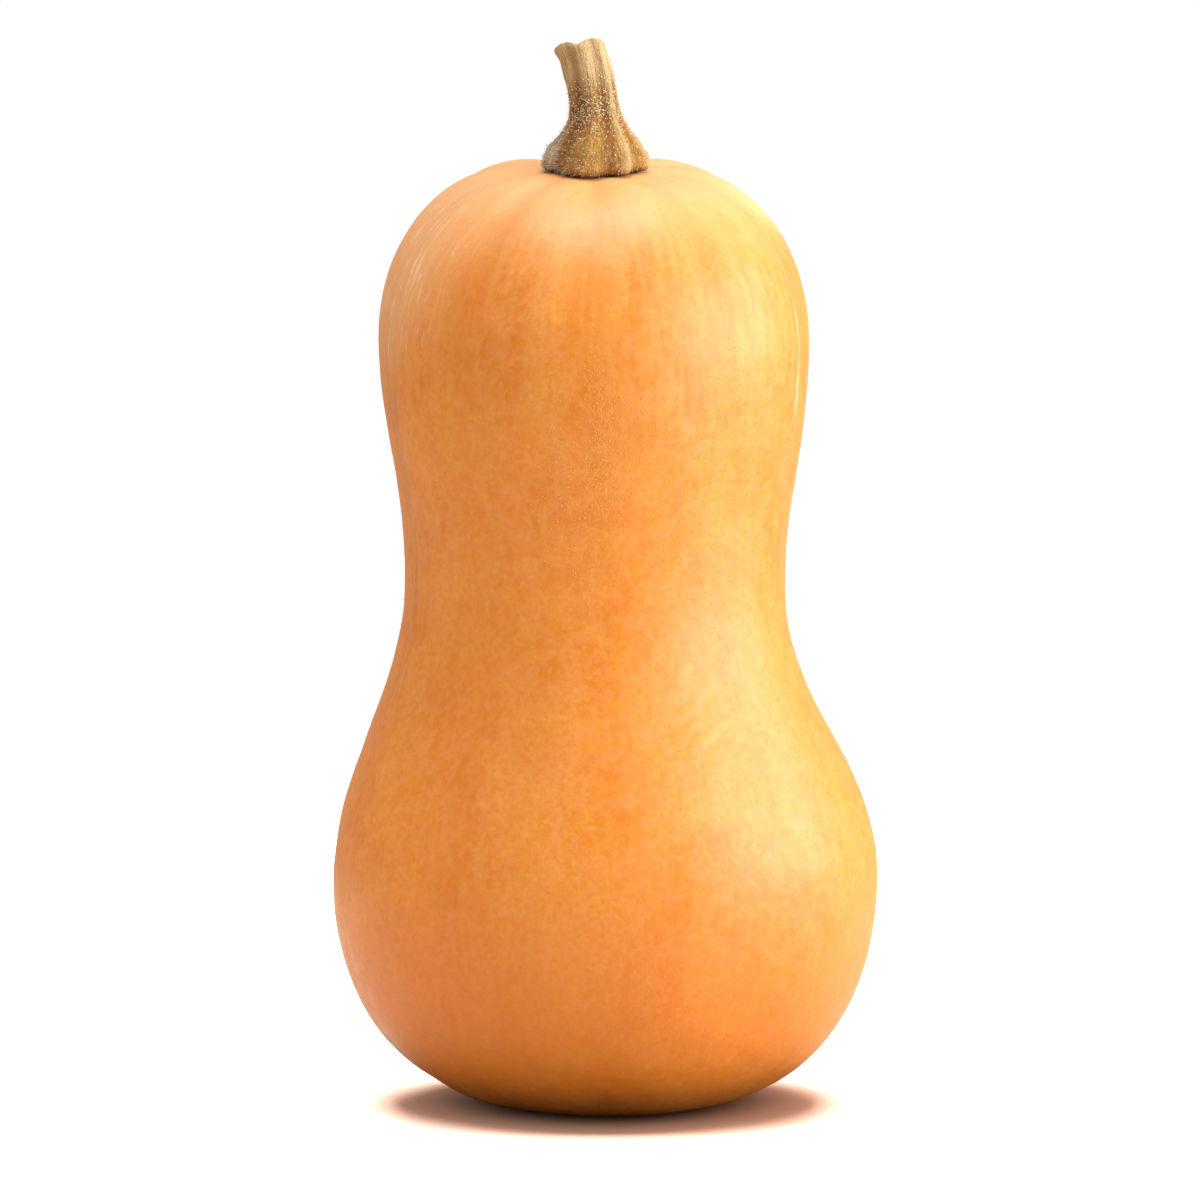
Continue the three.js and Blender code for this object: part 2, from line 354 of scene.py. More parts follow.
# Tiny pale pimples, most of them on the neck: angle, height, spreads of both, and how many.
pimples = {
    "patches": [
        (0, 164, 1.6, 9, 190), (-10, 150, 4, 8, 380), (4, 149, 4, 9, 640), (13, 157, 4, 7, 340),
        (21, 141, 5, 10, 300), (-3, 134, 6, 9, 300), (41, 166, 1, 9, 130), (33, 142, 4, 12, 150),
        (-62, 150, 5, 12, 80), (95, 150, 6, 12, 130), (138, 128, 6, 14, 130), (178, 160, 5, 10, 120),
        (-138, 142, 6, 13, 130), (-98, 104, 5, 10, 80),
    ],
    "size": (0.09, 0.19),
    "tall": 0.75,
    "seed": 3,
    "colour": (240, 172, 92),
    "shade": 0.85,
}


def skinAt(rows, angle, height):  # place and outward direction on the finished skin
    i = min(max(bisect([z for _, z, _ in rows], height), 1), len(rows) - 1)
    low, high = rows[i - 1], rows[i]
    share = min(max((height - low[1]) / (high[1] - low[1]), 0), 1)
    r, z = lerp(low[0], high[0], share), lerp(low[1], high[1], share)
    out = low[2]
    place = skinPoint((r, z, out), angle)
    turned = math.radians(angle)
    outward = Vector((out[0] * math.sin(turned), -out[0] * math.cos(turned), out[1]))
    return place + outward * fineRelief(place, angle, r, z, creaseAt(angle, r, z)), outward


def addDome(bm, place, outward, size, tall):
    stand = outward.to_track_quat("Z", "Y").to_matrix().to_4x4()
    shape = Matrix.Diagonal((size, size, size * tall, 1))
    bmesh.ops.create_icosphere(bm, subdivisions=1, radius=1,
                               matrix=Matrix.Translation(place) @ stand @ shape)


def buildPimples(material):
    draw = random.Random(pimples["seed"])
    flank = [row for row in fruitRows() if row[0] > fruit["foot"]["outer"] and row[1] > 1]
    spots = []
    for angle, height, wide, high, count in pimples["patches"]:
        spots += [(draw.gauss(angle, wide), draw.gauss(height, high)) for _ in range(count)]
    bm = growMany(len(spots), lambda batch, i: addDome(
        batch, *skinAt(flank, *spots[i]), draw.uniform(*pimples["size"]), pimples["tall"]))
    return finishPiece(bm, "skin_pimples", material)


# The stalk in millimetres and degrees, from its base on the crown upwards.
stalk = {
    "shaft": 5.7,
    "flare": {"radius": 6.3, "height": 7.8, "power": 2.6},
    "grooves": {"shaft": 1.15, "base": 2.1},
    "toe": {"round": 2.2, "tuck": 0.8},
    "lip": {"out": 0.5, "height": 3.5, "outerSide": 0.8},
    "cut": {"level": 0.2, "height": 7, "round": 1.9, "rim": 0.78, "pith": 0.8, "notch": 0.9, "droop": 1.2,
            "droopReach": 5, "dip": 1.1, "dipAt": -0.06, "dipWide": 0.3, "dipReach": 3.5,
            "torn": [(0.2, 0.8), (0.1, 0.35)]},
    "twist": 20,
    "upright": 4,
    "seated": 9,
    "gap": 0.3,
    "sunk": 0.5,  # how far the base reaches below its CAD solid, to sit on the skin
    "line": [(0, 0, 0), (0.3, 0, 6), (0.1, 0.3, 12), (-0.7, 0.7, 18), (-1.8, 1.3, 22.6), (-3.4, 2.0, 28.6)],
    "ridges": [  # place and width in degrees, height on the shaft, length of the toe
        (-74, 22, 1.1, 2.5),
        (-14, 27, 1.1, 3.0),
        (36, 14, 1.1, 2.2),
        (71, 17, 1.1, 3.1),
        (122, 23, 1.0, 2.0),
        (174, 22, 1.2, 2.2),
        (230, 25, 1.1, 2.1),
    ],
    "columns": 240,
    "rows": 120,
    "endRows": 8,
    "cutRows": 18,
    "carve": 0.55,  # how much deeper its grooves are than in the CAD solid
    "fibres": {"around": 8.5, "along": 11, "depth": 0.16, "finer": 2.3},
    "lumps": {"size": 1.9, "depth": 0.26, "finer": 2.2, "onShaft": 0.22, "fade": (5, 13)},
}


def stalkMiddle(t):  # a point on the stalk's middle line, a smooth curve through its places
    line = [Vector(p) for p in stalk["line"]]
    line = [2 * line[0] - line[1]] + line + [2 * line[-1] - line[-2]]
    at = min(max(t, 0), 1) * (len(line) - 3)
    i = min(int(at), len(line) - 4)
    u = at - i
    a, b, c, d = line[i:i + 4]
    return 0.5 * (2 * b + (c - a) * u + (2 * a - 5 * b + 4 * c - d) * u**2 + (3 * b - a - 3 * c + d) * u**3)


def stalkRelief(angle, height):  # where ridges stand out, from about -1 in a groove to 1
    total = 0
    turned = angle - stalk["twist"] * height / stalk["line"][-1][2]
    for at, width, _, _ in stalk["ridges"]:
        total += bell(turn(turned, at), width)
    return 2 * total - 1


def stalkRadius(angle, height):
    end = stalk["line"][-1][2]
    flare, lip, toe = stalk["flare"], stalk["lip"], stalk["toe"]
    spread = math.exp(-((height / flare["height"]) ** flare["power"]))
    turned = angle - stalk["twist"] * height / end
    relief = -lerp(stalk["grooves"]["shaft"], stalk["grooves"]["base"], spread)
    for at, width, ridge, long in stalk["ridges"]:
        relief += lerp(ridge, long, spread) * bell(turn(turned, at), width)
    lipOut = lip["out"] * (1 - lip["outerSide"] * math.sin(math.radians(angle)))
    low = min(max(1 - height / toe["round"], 0), 1)
    tuck = toe["round"] * toe["tuck"] * (1 - math.sqrt(1 - low**2))
    lipOut *= smoothStep(height, end - lip["height"], end)
    return stalk["shaft"] + flare["radius"] * spread + relief + lipOut - tuck


def stalkPoint(angle, height, share=1.0, proud=0.0):  # at a share of the radius, proud of the surface
    end = stalk["line"][-1][2]
    t = height / end
    middle = stalkMiddle(t)
    up = Vector((0, 0, 1))
    if height > stalk["upright"]:
        up = (stalkMiddle(t + 0.01) - stalkMiddle(t - 0.01)).normalized()
    right = Vector((0, 1, 0)).cross(up).normalized()
    back = up.cross(right)
    turned = math.radians(angle)
    r = share * stalkRadius(angle, max(height, 0)) + proud
    p = middle + right * r * math.sin(turned) - back * r * math.cos(turned)
    cut = stalk["cut"]
    p.z -= cut["level"] * (p.x - middle.x) * smoothStep(height, end - cut["height"], end)
    away = math.hypot(p.x, p.y)
    seatAngle = math.degrees(math.atan2(p.x, -p.y))
    crown = fruit["crown"]
    seat = crownHeight(away) - grooveDepth(seatAngle, away, crown["height"]) + leanLift(p.y, crown["height"])
    base = crown["height"] - crown["dimple"] / 2
    p.z += lerp(seat, base, smoothStep(height, 0, stalk["seated"])) + stalk["gap"]
    return p + Vector((fruit["neck"]["x"], fruit["neck"]["y"], 0))


def stalkDetail(angle, height):  # fibres along the shaft, and lumps on the toes, in mm
    turned = math.radians(angle - stalk["twist"] * height / stalk["line"][-1][2])
    fibres, lumps = stalk["fibres"], stalk["lumps"]
    ring = Vector((math.sin(turned), math.cos(turned), 0)) * fibres["around"]
    streak = noise.noise(ring + Vector((0, 0, height / fibres["along"])))
    fine = noise.noise(fibres["finer"] * ring + Vector((7, 0, height / fibres["along"])))
    place = stalkPoint(angle, height)
    lump = noise.noise(place / lumps["size"]) + 0.5 * noise.noise(lumps["finer"] * place / lumps["size"])
    lumpy = lerp(1, lumps["onShaft"], smoothStep(height, *lumps["fade"]))
    carved = stalk["carve"] * max(-stalkRelief(angle, height), 0) * smoothStep(height, 0.5, 4)
    return fibres["depth"] * (streak + 0.5 * fine) + lumps["depth"] * lump * lumpy - carved


def buildStalk(material):
    end = stalk["line"][-1][2]
    cut, rows, cutRows = stalk["cut"], stalk["rows"], stalk["cutRows"]
    outline = [(0, -stalk["sunk"]), (0.6, -stalk["sunk"]), (0.97, -stalk["sunk"])]  # share of radius, height
    for i in range(rows + 1):
        outline.append((1, (end - cut["round"]) * i / rows))
    for i in range(1, stalk["endRows"]):
        turned = math.pi / 2 * i / stalk["endRows"]
        outline.append((lerp(cut["rim"], 1, math.cos(turned)), end - cut["round"] * (1 - math.sin(turned))))
    for i in range(cutRows):
        share = cut["rim"] * (1 - i / (cutRows - 1))
        outline.append((share, end - cut["pith"] * (1 - (share / cut["rim"]) ** 3)))
    bm = bmesh.new()
    rowLayer = spinRows(bm, outline, stalk["columns"])
    alongLayer = bm.verts.layers.float.new("along")
    reliefLayer = bm.verts.layers.float.new("relief")
    cutLayer = bm.verts.layers.float.new("cut")
    aroundLayer = bm.verts.layers.float.new("around")
    fibreLayer = bm.verts.layers.float_vector.new("fibre")
    firstCut = len(outline) - cutRows
    for vert in bm.verts:
        row = vert[rowLayer]
        share, height = outline[row]
        angle = math.degrees(math.atan2(vert.co.x, -vert.co.y))
        proud = stalkDetail(angle, height) * smoothStep(share, 0.5, 1)
        place = stalkPoint(angle, height, share, proud)
        valley = max(-stalkRelief(angle, height), 0) * smoothStep(height, end - 2 * cut["round"], end)
        place.z -= cut["notch"] * valley * smoothStep(share, 0.2, cut["rim"])
        side = math.sin(math.radians(angle)) * share
        drooping = smoothStep(-side, 0.2, 1) * smoothStep(height, end - cut["droopReach"], end)
        dipped = bell(side - cut["dipAt"], cut["dipWide"]) * smoothStep(height, end - cut["dipReach"], end)
        place.z -= cut["droop"] * drooping + cut["dip"] * dipped
        if row >= firstCut:  # torn fibres round a sunken pith
            place.z += sum(depth * noise.noise(place / size) for depth, size in cut["torn"])
        turned = math.radians(angle - stalk["twist"] * height / end)
        vert[fibreLayer] = (math.sin(turned), math.cos(turned), height * mm)
        vert[alongLayer] = height / end
        vert[reliefLayer] = stalkRelief(angle, height)
        vert[cutLayer] = 1.0 if row >= firstCut else 0.0
        vert[aroundLayer] = angle
        vert.co = atFrame(place)
    return finishPiece(bm, "squash_stalk", material, ["stalk"])


# Pale stubs on the stalk's middle and short hairs on its toes, in millimetres.
stubs = {
    "count": 1350,
    "low": 1.5,
    "high": 20.5,
    "middle": 12.5,
    "size": (0.08, 0.21),
    "tall": (0.8, 1.7),
    "seed": 11,
    "colour": (240, 222, 182),
    "shade": 0.75,
}
hairs = {
    "count": 1100,
    "steps": 3,
    "length": (0.5, 1.4),
    "radius": 0.045,
    "root": 0.1,
    "taper": 0.72,
    "curl": 0.75,
    "onToes": 0.72,  # the share of them that grows low down
    "toes": (0.4, 4.5),
    "shaft": (4.5, 17),
    "onLeft": 0.45,  # the share that gathers round the left side
    "left": (-70, 38),
    "seed": 5,
    "colour": (244, 236, 224),
    "shade": 0.8,
}


def surfaceAt(angle, height):  # place and outward direction on the stalk
    place = stalkPoint(angle, height, 1, stalkDetail(angle, height))
    around = stalkPoint(angle + 2, height) - stalkPoint(angle - 2, height)
    upwards = stalkPoint(angle, height + 0.3) - stalkPoint(angle, max(height - 0.3, 0))
    return place, around.cross(upwards).normalized()


def buildStubs(material):
    draw = random.Random(stubs["seed"])

    def addStub(batch, i):
        height = draw.triangular(stubs["low"], stubs["high"], stubs["middle"])
        spot = surfaceAt(draw.uniform(-180, 180), height)
        addDome(batch, *spot, draw.uniform(*stubs["size"]), draw.uniform(*stubs["tall"]))

    return finishPiece(growMany(stubs["count"], addStub), "stalk_stubs", material)


def growHair(bm, draw, place, outward):
    lean = Vector([draw.uniform(-1, 1) for _ in range(3)])
    way = (outward + hairs["curl"] * lean).normalized()
    step = draw.uniform(*hairs["length"]) / hairs["steps"]
    stand = way.to_track_quat("Z", "Y").to_matrix().to_4x4()
    ring = bmesh.ops.create_circle(bm, segments=3, radius=hairs["radius"], cap_ends=True,
                                   matrix=Matrix.Translation(place - outward * hairs["root"]) @ stand)
    face = ring["verts"][0].link_faces[0]
    for i in range(hairs["steps"]):
        grown = bmesh.ops.extrude_face_region(bm, geom=[face], use_keep_orig=i == 0)
        face = next(g for g in grown["geom"] if isinstance(g, bmesh.types.BMFace))
        bend = Vector([draw.uniform(-1, 1) for _ in range(3)]) * hairs["curl"]
        way = (way + 0.5 * bend).normalized()
        bmesh.ops.translate(bm, verts=face.verts, vec=way * step)
        middle = face.calc_center_median()
        bmesh.ops.scale(bm, verts=face.verts, vec=Vector([hairs["taper"]] * 3),
                        space=Matrix.Translation(-middle))


def buildHairs(material):
    draw = random.Random(hairs["seed"])

    def addHair(batch, i):
        height = draw.uniform(*hairs["toes" if draw.random() < hairs["onToes"] else "shaft"])
        onLeft = draw.random() < hairs["onLeft"]
        angle = draw.gauss(*hairs["left"]) if onLeft else draw.uniform(-180, 180)
        growHair(batch, draw, *surfaceAt(angle, height))

    return finishPiece(growMany(hairs["count"], addHair), "stalk_hairs", material)


def linear(red, green, blue):  # a colour given as on a screen, from 0 to 255
    def channel(value):
        share = value / 255
        return share / 12.92 if share <= 0.04045 else ((share + 0.055) / 1.055) ** 2.4

    return (channel(red), channel(green), channel(blue), 1)


def addNode(tree, kind, inputs=None, **settings):  # inputs name a value or another node's output
    node = tree.nodes.new(kind)
    for name, value in settings.items():
        setattr(node, name, value)
    for name, value in (inputs or {}).items():
        socket = node.inputs[name]
        if isinstance(value, bpy.types.NodeSocket):
            tree.links.new(value, socket)
        else:
            socket.default_value = value
    return node


def calculate(tree, operation, first, second=0.0, third=0.0):
    return addNode(tree, "ShaderNodeMath", {0: first, 1: second, 2: third}, operation=operation).outputs[0]


def mixColours(tree, share, first, second):
    return addNode(tree, "ShaderNodeMix", {0: share, 6: first, 7: second}, data_type="RGBA").outputs[2]


def rangeOf(tree, value, low, high, toLow=0.0, toHigh=1.0):
    return addNode(tree, "ShaderNodeMapRange", {0: value, 1: low, 2: high, 3: toLow, 4: toHigh},
                   interpolation_type="SMOOTHSTEP").outputs[0]


def startGroup(name, inputs, outputs):  # a group with named sockets, and its two end nodes
    group = bpy.data.node_groups.new(name, "ShaderNodeTree")
    for socketName, kind, value in inputs:
        socket = group.interface.new_socket(socketName, in_out="INPUT", socket_type=kind)
        if value is not None:
            socket.default_value = value
    for socketName in outputs:
        group.interface.new_socket(socketName, in_out="OUTPUT", socket_type="NodeSocketFloat")
    return group, group.nodes.new("NodeGroupInput").outputs, group.nodes.new("NodeGroupOutput").inputs


def makeMottle():  # soft cloudy patches, from 0 to 1
    group, given, made = startGroup("mottle", [
        ("Vector", "NodeSocketVector", None),
        ("Size", "NodeSocketFloat", 0.01),
        ("Warp", "NodeSocketFloat", 0.4),
        ("Detail", "NodeSocketFloat", 4.0),
        ("Low", "NodeSocketFloat", 0.35),
        ("High", "NodeSocketFloat", 0.65),
    ], ["Mask"])
    scale = calculate(group, "DIVIDE", 1.0, given["Size"])
    cloud = addNode(group, "ShaderNodeTexNoise", {"Vector": given["Vector"], "Scale": scale,
                    "Detail": given["Detail"], "Roughness": 0.6, "Distortion": given["Warp"]})
    group.links.new(rangeOf(group, cloud.outputs["Fac"], given["Low"], given["High"]), made["Mask"])
    return group


def makeStreak():  # long streaks that run up the piece, seamless all round it
    group, given, made = startGroup("streak", [
        ("Vector", "NodeSocketVector", None),
        ("Around", "NodeSocketFloat", 8.0),
        ("Along", "NodeSocketFloat", 20.0),
        ("Detail", "NodeSocketFloat", 3.0),
        ("Low", "NodeSocketFloat", 0.35),
        ("High", "NodeSocketFloat", 0.65),
    ], ["Mask"])
    flat = addNode(group, "ShaderNodeVectorMath", {0: given["Vector"], 1: (1, 1, 0)}, operation="MULTIPLY")
    unit = addNode(group, "ShaderNodeVectorMath", {0: flat.outputs[0]}, operation="NORMALIZE")
    around = addNode(group, "ShaderNodeVectorMath", {0: unit.outputs[0], "Scale": given["Around"]},
                     operation="SCALE").outputs[0]
    height = addNode(group, "ShaderNodeSeparateXYZ", {0: given["Vector"]}).outputs["Z"]
    along = calculate(group, "MULTIPLY", height, given["Along"])
    rise = addNode(group, "ShaderNodeCombineXYZ", {"Z": along}).outputs[0]
    place = addNode(group, "ShaderNodeVectorMath", {0: around, 1: rise}, operation="ADD")
    cloud = addNode(group, "ShaderNodeTexNoise", {"Vector": place.outputs[0], "Scale": 1.0,
                    "Detail": given["Detail"], "Roughness": 0.55, "Distortion": 0.3})
    group.links.new(rangeOf(group, cloud.outputs["Fac"], given["Low"], given["High"]), made["Mask"])
    return group


def makeSpecks():  # small round dots of uneven size, 1 in the middle of each
    group, given, made = startGroup("specks", [
        ("Vector", "NodeSocketVector", None),
        ("Spacing", "NodeSocketFloat", 0.001),
        ("Radius", "NodeSocketFloat", 0.3),
    ], ["Mask"])
    scale = calculate(group, "DIVIDE", 1.0, given["Spacing"])
    cells = addNode(group, "ShaderNodeTexVoronoi", {"Vector": given["Vector"], "Scale": scale,
                    "Randomness": 0.9})
    uneven = calculate(group, "MULTIPLY", addNode(group, "ShaderNodeSeparateColor",
                       {0: cells.outputs["Color"]}).outputs[0], given["Radius"])
    group.links.new(rangeOf(group, cells.outputs["Distance"], uneven, 0.0), made["Mask"])
    return group


mottle, streak, specks = makeMottle(), makeStreak(), makeSpecks()


def placeGroup(tree, group, inputs):
    return addNode(tree, "ShaderNodeGroup", inputs, node_tree=group).outputs[0]


def startMaterial(name):
    material = bpy.data.materials.new(name)
    material.use_nodes = True
    tree = material.node_tree
    coords = addNode(tree, "ShaderNodeTexCoord").outputs["Object"]
    return material, tree, coords, tree.nodes["Principled BSDF"].inputs


# The rind: colours as on a screen, and sizes and heights in metres.
rindLook = {
    "colours": {
        "tan": (232, 141, 34),
        "orange": (221, 118, 8),
        "pale": (240, 166, 76),
        "rosy": (234, 143, 62),
        "peach": (236, 142, 84),
        "blush": (248, 190, 136),
        # scar: the pale colour of the real scratches, and of the painted highlight along the creases
        "scar": (252, 222, 184),
        # deep: the colour of the painted shade towards the bottom
        "deep": (208, 102, 18),
        "cork": (150, 112, 66),
    },
    "patterns": {
        "clouds": {"Size": 0.024, "Warp": 0.6, "Detail": 6.0, "Low": 0.36, "High": 0.66},
        "patches": {"Size": 0.007, "Warp": 0.8, "Detail": 6.0, "Low": 0.4, "High": 0.66},
        "blots": {"Size": 0.0032, "Warp": 0.9, "Detail": 5.0, "Low": 0.42, "High": 0.68},
        "flecks": {"Size": 0.0013, "Warp": 0.3, "Low": 0.35, "High": 0.7},
        "dust": {"Size": 0.0021, "Warp": 0.5, "Low": 0.44, "High": 0.66},
    },
    "layers": [("patches", 0.75, "rosy"), ("blots", 0.35, "pale"), ("flecks", 0.55, "orange"),
               ("dust", 0.4, "peach")],
    "streaks": {"Around": 5.5, "Along": 16.0, "Low": 0.4, "High": 0.68},
    "fineStreaks": {"Around": 26.0, "Along": 60.0, "Low": 0.4, "High": 0.7},
    "scratches": {"Around": 46.0, "Along": 150.0, "Low": 0.56, "High": 0.66},
    "fades": {  # two heights, and the strength at each
        "streaks": (0.15, 0.2, 0.2, 0.6),
        "fineStreaks": (0.14, 0.2, 0.1, 0.36),
        # grooves: the darker orange along the grooves, partly the skin's own colour and partly painted shade
        "grooves": (0.15, 0.19, 0.12, 0.55),
        "crown": (0.188, 0.213, 0.0, 0.55),
        # foot: painted shade, darker towards the bottom where the underside is in shade
        "foot": (0.068, 0.024, 0.0, 0.48),
    },
    # creases: the strength of the painted shade line at each crease's edge (rim) and of the painted
    # highlight along its middle (scar)
    "creases": {"rim": 0.3, "scar": 0.45},
    "wornAndSheen": [  # places on the crown with fine scratches and a pale painted sheen: middle and radius
        ((-0.045, -0.008, 0.19), 0.033),
        ((0.036, 0.006, 0.207), 0.016),
        ((-0.004, 0.042, 0.196), 0.028),
    ],
    # the strength of the painted sheen in the worn places
    "paintedSheen": 0.45,
    "scratched": 0.5,
    "blossomScar": {"inner": 0.003, "outer": 0.011, "height": 0.008},
    "bump": {"grain": 1900.0, "dents": 420.0, "strength": 0.5, "distance": 0.0001},
    "roughness": (0.4, 0.5),
    "specular": 0.42,
    "coat": {"weight": 0.06, "roughness": 0.3},
}


def addWearAndSheen(tree, coords):  # 1 in the middle of each worn place with painted sheen
    near = 0.0
    for middle, radius in rindLook["wornAndSheen"]:
        away = addNode(tree, "ShaderNodeVectorMath", {0: coords, 1: middle}, operation="DISTANCE")
        near = calculate(tree, "MAXIMUM", rangeOf(tree, away.outputs["Value"], radius, radius / 4), near)
    return near


def fadeAt(tree, height, name):
    return rangeOf(tree, height, *rindLook["fades"][name])


def addStreaks(tree, coords, height, name):  # streaks that are stronger up on the neck
    lines = placeGroup(tree, streak, {"Vector": coords, **rindLook[name]})
    return calculate(tree, "MULTIPLY", lines, fadeAt(tree, height, name))


def layerRind(tree, coords, height, masks, look):  # the skin's own mottled and streaked colours
    colour = mixColours(tree, masks["clouds"], look["tan"], look["orange"])
    colour = mixColours(tree, addStreaks(tree, coords, height, "streaks"), colour, look["pale"])
    for name, strength, tint in rindLook["layers"]:
        colour = mixColours(tree, calculate(tree, "MULTIPLY", masks[name], strength), colour, look[tint])
    return mixColours(tree, addStreaks(tree, coords, height, "fineStreaks"), colour, look["pale"])


def markRind(tree, coords, height, colour, look):  # grooves darker, partly painted shade; paler crown; painted shade at the foot; creases with painted shade and painted highlight; worn places with scratches and painted sheen; and scar
    groove = addNode(tree, "ShaderNodeAttribute", attribute_name="groove").outputs["Fac"]
    # darker orange along the grooves near the crown: partly the skin's own colour, partly painted shade in
    # the grooves
    grooveTintAndShade = calculate(tree, "MULTIPLY", rangeOf(tree, groove, 0.35, 1.0), fadeAt(tree, height, "grooves"))
    colour = mixColours(tree, grooveTintAndShade, colour, look["orange"])
    colour = mixColours(tree, fadeAt(tree, height, "crown"), colour, look["blush"])
    # painted shade: the skin is made deeper and darker orange towards the bottom
    colour = mixColours(tree, fadeAt(tree, height, "foot"), colour, look["deep"])
    crease = addNode(tree, "ShaderNodeAttribute", attribute_name="crease").outputs["Fac"]
    marks = rindLook["creases"]
    # painted shade: a thin cork-brown line along each crease's edge
    rim = calculate(tree, "MULTIPLY", rangeOf(tree, crease, 0.04, 0.25), rangeOf(tree, crease, 0.5, 0.25))
    colour = mixColours(tree, calculate(tree, "MULTIPLY", rim, marks["rim"]), colour, look["cork"])
    # painted highlight: a pale line along the middle of each crease
    colour = mixColours(tree, rangeOf(tree, crease, 0.1, 0.9, 0.0, marks["scar"]), colour, look["scar"])
    wearAndSheen = addWearAndSheen(tree, coords)
    # painted sheen: the worn places are made pale blush; their scratches are real wear
    colour = mixColours(tree, calculate(tree, "MULTIPLY", wearAndSheen, rindLook["paintedSheen"]), colour, look["blush"])
    lines = placeGroup(tree, streak, {"Vector": coords, **rindLook["scratches"]})
    scratches = calculate(tree, "MULTIPLY", lines, calculate(tree, "MULTIPLY", wearAndSheen, rindLook["scratched"]))
    colour = mixColours(tree, scratches, colour, look["scar"])
    scar = rindLook["blossomScar"]
    flat = addNode(tree, "ShaderNodeVectorMath", {0: coords, 1: (1, 1, 0)}, operation="MULTIPLY")
    away = addNode(tree, "ShaderNodeVectorMath", {0: flat.outputs[0]}, operation="LENGTH").outputs["Value"]
    underneath = rangeOf(tree, height, scar["height"], 0.0)
    onScar = calculate(tree, "MULTIPLY", rangeOf(tree, away, scar["outer"], scar["inner"]), underneath)
    return mixColours(tree, onScar, colour, look["cork"])


def makeRind():
    material, tree, coords, shader = startMaterial("rind")
    look = {name: linear(*colour) for name, colour in rindLook["colours"].items()}
    height = addNode(tree, "ShaderNodeSeparateXYZ", {0: coords}).outputs["Z"]
    masks = {name: placeGroup(tree, mottle, {"Vector": coords, **pattern})
             for name, pattern in rindLook["patterns"].items()}
    colour = layerRind(tree, coords, height, masks, look)
    tree.links.new(markRind(tree, coords, height, colour, look), shader["Base Color"])
    bumps, coat = rindLook["bump"], rindLook["coat"]
    grain = addNode(tree, "ShaderNodeTexNoise", {"Vector": coords, "Scale": bumps["grain"], "Detail": 3.0})
    dents = addNode(tree, "ShaderNodeTexNoise", {"Vector": coords, "Scale": bumps["dents"], "Detail": 2.0})
    relief = calculate(tree, "MULTIPLY_ADD", dents.outputs["Fac"], 2.0, grain.outputs["Fac"])
    bump = addNode(tree, "ShaderNodeBump", {"Strength": bumps["strength"], "Distance": bumps["distance"],
                   "Height": relief})
    tree.links.new(bump.outputs[0], shader["Normal"])
    rough = rangeOf(tree, masks["patches"], 0.0, 1.0, *rindLook["roughness"])
    tree.links.new(rough, shader["Roughness"])
    shader["Specular IOR Level"].default_value = rindLook["specular"]
    shader["Coat Weight"].default_value = coat["weight"]
    shader["Coat Roughness"].default_value = coat["roughness"]
    return material


# The stalk: colours as on a screen, sizes in metres, and angles in degrees.
stalkLook = {
    "colours": {
        "straw": (230, 190, 138),
        "golden": (206, 138, 48),
        "olive": (190, 148, 56),
        "brown": (124, 68, 20),
        # dark: the colour of the painted shadow at the stalk's base
        "dark": (74, 36, 10),
        "grey": (206, 190, 170),
        "pith": (214, 180, 130),
    },
    "fibres": {"Around": 7.0, "Along": 130.0, "Low": 0.35, "High": 0.68},
    "fine": {"Around": 24.0, "Along": 420.0, "Low": 0.36, "High": 0.66},
    "blotches": {"Size": 0.0022, "Warp": 0.6, "Low": 0.4, "High": 0.66},
    "crumbs": {"Size": 0.0006, "Warp": 0.3, "Low": 0.35, "High": 0.68},
    "warts": {"Spacing": 0.0011, "Radius": 0.5},
    "waver": 0.14,
    "fades": {  # two shares of the stalk's length, and the strength at each
        "middle": (0.12, 0.34, 0.0, 1.0),
        "straw": (0.56, 0.8, 0.0, 1.0),
        "dry": (0.4, 0.7, 0.16, 0.4),
        # grooves: painted shade in the stalk's grooves, stronger low down
        "grooves": (0.92, 0.45, 0.35, 0.9),
        "leftToe": (0.42, 0.12, 0.0, 1.0),
        "seam": (0.06, 0.0, 0.0, 0.85),
    },
    "strengths": {"blotches": 0.5, "fibres": 0.28, "leftToe": 0.6, "cut": 0.7},
    # a painted highlight on the ridge crests of the right side: two angles, and the strength at each
    "highlightedRightCrests": (20.0, 40.0, 0.06, 0.45),
    "leftToe": [(-48.0, -62.0), (-122.0, -104.0)],
    "hatching": (0.2, 0.6, 0.35, 0.95),
    "bump": {"warts": 1.2, "fibres": 1.2, "crumbs": 1.0, "strength": 0.85, "distance": 0.00026},
    "roughness": 0.7,
    "specular": 0.3,
}


